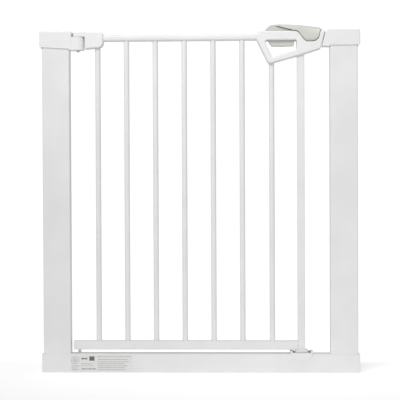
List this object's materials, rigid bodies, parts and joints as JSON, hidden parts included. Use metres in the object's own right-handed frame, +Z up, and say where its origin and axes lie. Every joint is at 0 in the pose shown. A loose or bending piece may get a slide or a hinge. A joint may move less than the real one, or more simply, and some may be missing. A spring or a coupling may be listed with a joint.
{
  "type": "pressure-fit safety gate",
  "caption": "Doorway safety gate: a U-shaped steel frame held by pressure spindles, with a barred leaf that swings both ways and latches at the top and at the foot.",
  "frame": {"origin": "on the floor under the middle of the base bar", "axes": "+X to the right seen from the front, towards the latch side; the front faces -Y; +Z up"},
  "size_m": [0.709, 0.032, 0.7681],
  "materials": {
    "powder_coated_steel": "white polyester powder coat, semi-gloss, slight orange peel",
    "white_moulding": "white moulded nylon with a fine satin texture",
    "light_sage_moulding": "light grey-green moulded ABS, satin",
    "deep_sage_moulding": "deeper grey-green moulded ABS, satin",
    "trigger_moulding": "grey-green moulded acetal, satin",
    "acetal": "natural acetal, smooth",
    "zinc_plated_steel": "bright zinc plate",
    "spring_steel": "drawn spring wire",
    "damper_rubber": "dark grey moulded rubber",
    "label_film": "white printed polyester film"
  },
  "bodies": {
    "frame": {"left_post": "powder_coated_steel", "right_post": "powder_coated_steel", "base_bar": "powder_coated_steel", "base_plug_left": "white_moulding", "base_plug_right": "white_moulding", "hinge_post_cap": "white_moulding", "strike_post_cap": "white_moulding", "spindle_bushes": "acetal", "post_cap_screws": "zinc_plated_steel", "hinge_bush_top": "acetal", "hinge_bush_bottom": "acetal", "foot_catch": "white_moulding", "catch_screws": "zinc_plated_steel", "catch_pads": "damper_rubber", "rating_label": "label_film"},
    "leaf": {"top_rail": "powder_coated_steel", "bottom_rail": "powder_coated_steel", "bottom_rail_plug": "white_moulding", "latch_stile": "powder_coated_steel", "bar_1": "powder_coated_steel", "bar_2": "powder_coated_steel", "bar_3": "powder_coated_steel", "bar_4": "powder_coated_steel", "bar_5": "powder_coated_steel", "bar_6": "powder_coated_steel", "bar_7": "powder_coated_steel", "hinge_head_front": "white_moulding", "hinge_head_rear": "white_moulding", "hinge_head_screws": "zinc_plated_steel", "top_hinge_pin": "zinc_plated_steel", "bottom_hinge_pin": "zinc_plated_steel", "handle_front_shell": "white_moulding", "handle_rear_shell": "white_moulding", "handle_cover": "light_sage_moulding", "handle_screws": "zinc_plated_steel", "trigger_pin": "zinc_plated_steel", "foot_bush": "white_moulding", "rod_guide": "acetal"},
    "latch_slide": {"thumb_button": "deep_sage_moulding", "latch_bolt": "acetal", "latch_spring": "spring_steel"},
    "trigger": {"trigger": "trigger_moulding"},
    "foot_bolt": {"pull_rod": "zinc_plated_steel", "foot_bolt_pin": "zinc_plated_steel", "rod_spring": "spring_steel"}
  },
  "joints": [
    {"name": "leaf_swing", "type": "hinge", "parent": "frame", "child": "leaf", "pos_m": [-0.2697, 0, 0.4], "axis": [0, 0, 1], "range_deg": [-90, 90]},
    {"name": "latch_retract", "type": "slide", "parent": "leaf", "child": "latch_slide", "axis": [-1, 0, 0], "range_m": [0, 0.0095], "stiffness_N_per_m": 300, "springref_m": -0.01, "deforming": ["latch_spring"]},
    {"name": "trigger_squeeze", "type": "hinge", "parent": "leaf", "child": "trigger", "pos_m": [0.1545, 0, 0.7422], "axis": [0, -1, 0], "range_deg": [0, 5.5]},
    {"name": "foot_bolt_lift", "type": "slide", "parent": "leaf", "child": "foot_bolt", "axis": [0, 0, 1], "range_m": [0, 0.00676], "stiffness_N_per_m": 250, "springref_m": -0.012, "deforming": ["rod_spring"]}
  ],
  "couplings": [
    {"joint": "trigger_squeeze", "follows": "foot_bolt_lift", "rad_per_m": 14.184}
  ]
}
